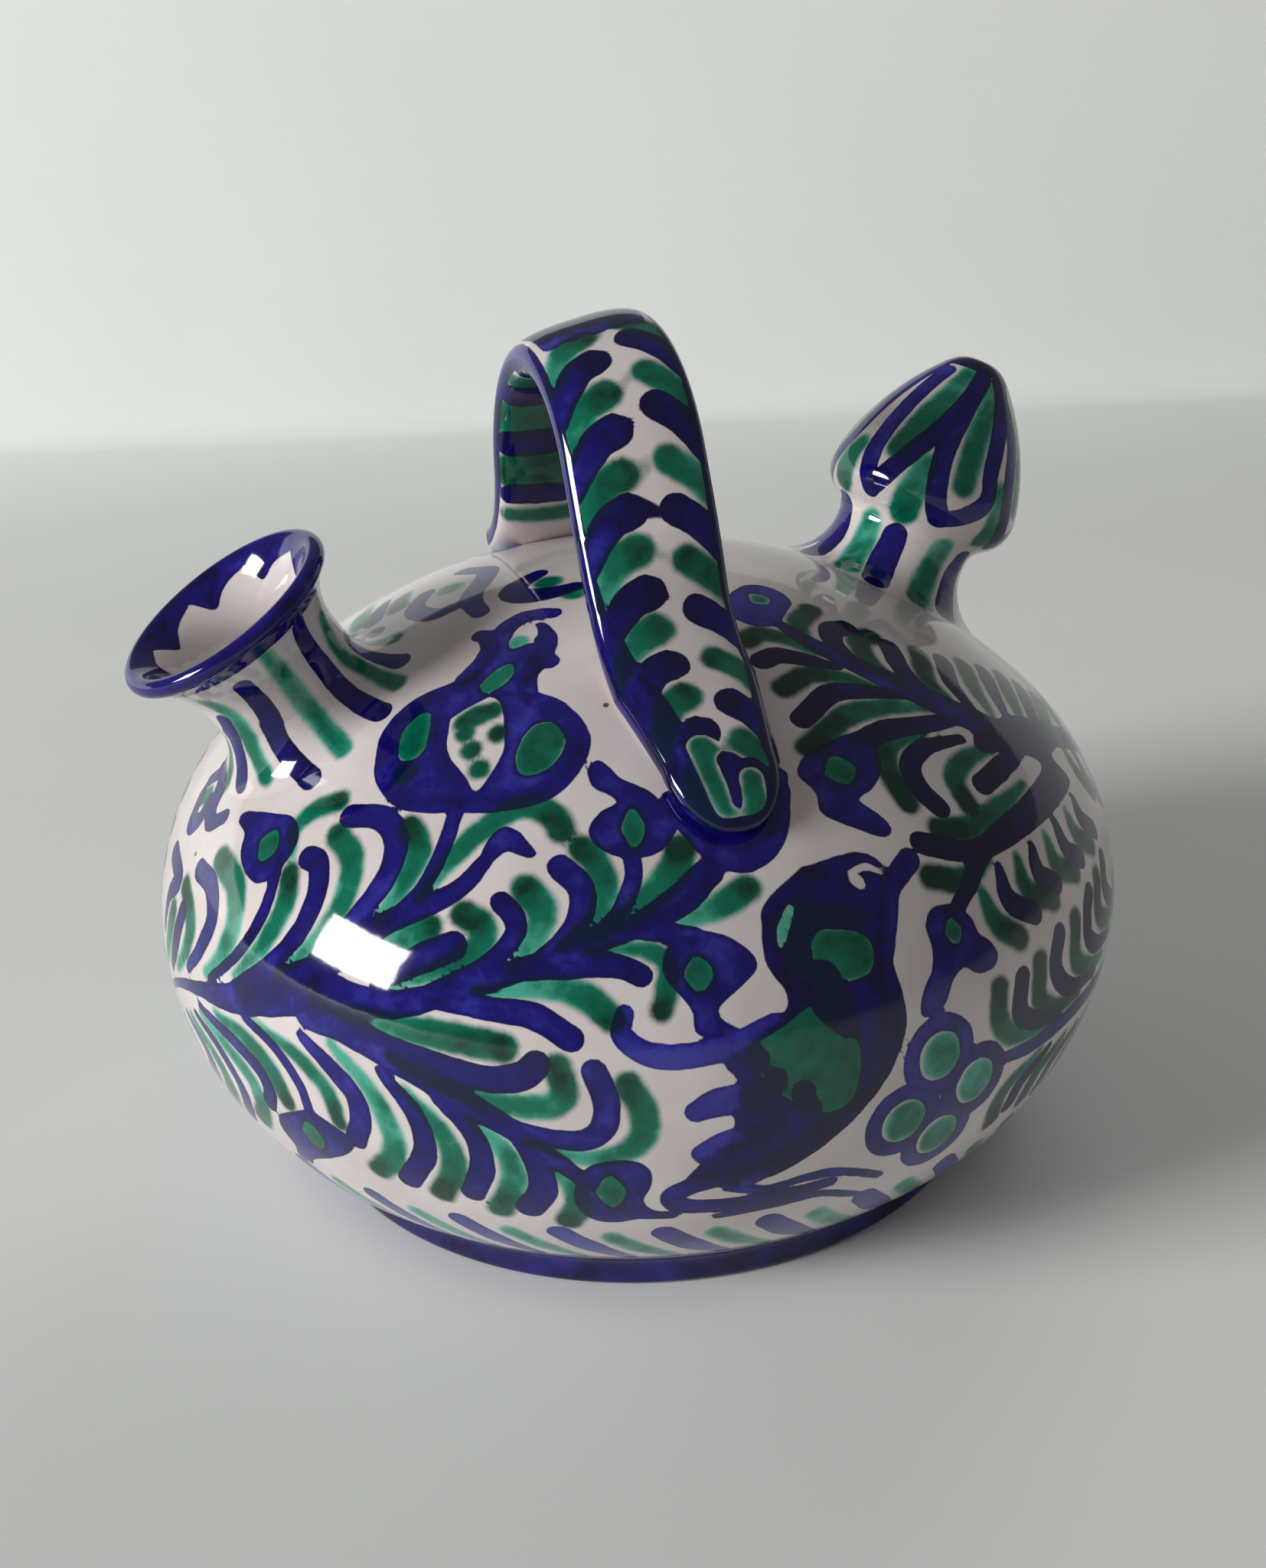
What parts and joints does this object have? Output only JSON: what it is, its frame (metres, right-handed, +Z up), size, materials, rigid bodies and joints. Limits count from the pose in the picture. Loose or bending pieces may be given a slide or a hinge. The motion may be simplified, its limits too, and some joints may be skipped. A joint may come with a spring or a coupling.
{
  "type": "botijo drinking jug",
  "caption": "Squat glazed earthenware drinking jug with a flared filling mouth, a bud-shaped drinking spout, an arched strap handle and a ring foot, painted in cobalt blue and copper green.",
  "frame": {"origin": "centre of the foot ring, on the plane that the jug stands on", "axes": "+Z up along the body's axis, +X towards the drinking spout, -X towards the filling mouth, the handle runs along Y with its long front leg towards -Y"},
  "size_m": [0.2, 0.2, 0.1709],
  "materials": {
    "white_glaze": "glossy off-white tin glaze with cobalt-blue and copper-green brush painting",
    "blue_glaze": "glossy cobalt-blue band, bare clay on the resting face"
  },
  "bodies": {
    "root": {"foot_ring": "blue_glaze", "lower_bowl": "white_glaze", "upper_dome": "white_glaze", "mouth": "white_glaze", "mouth_luting": "white_glaze", "spout": "white_glaze", "spout_luting": "white_glaze", "handle_strap": "white_glaze"}
  },
  "joints": []
}
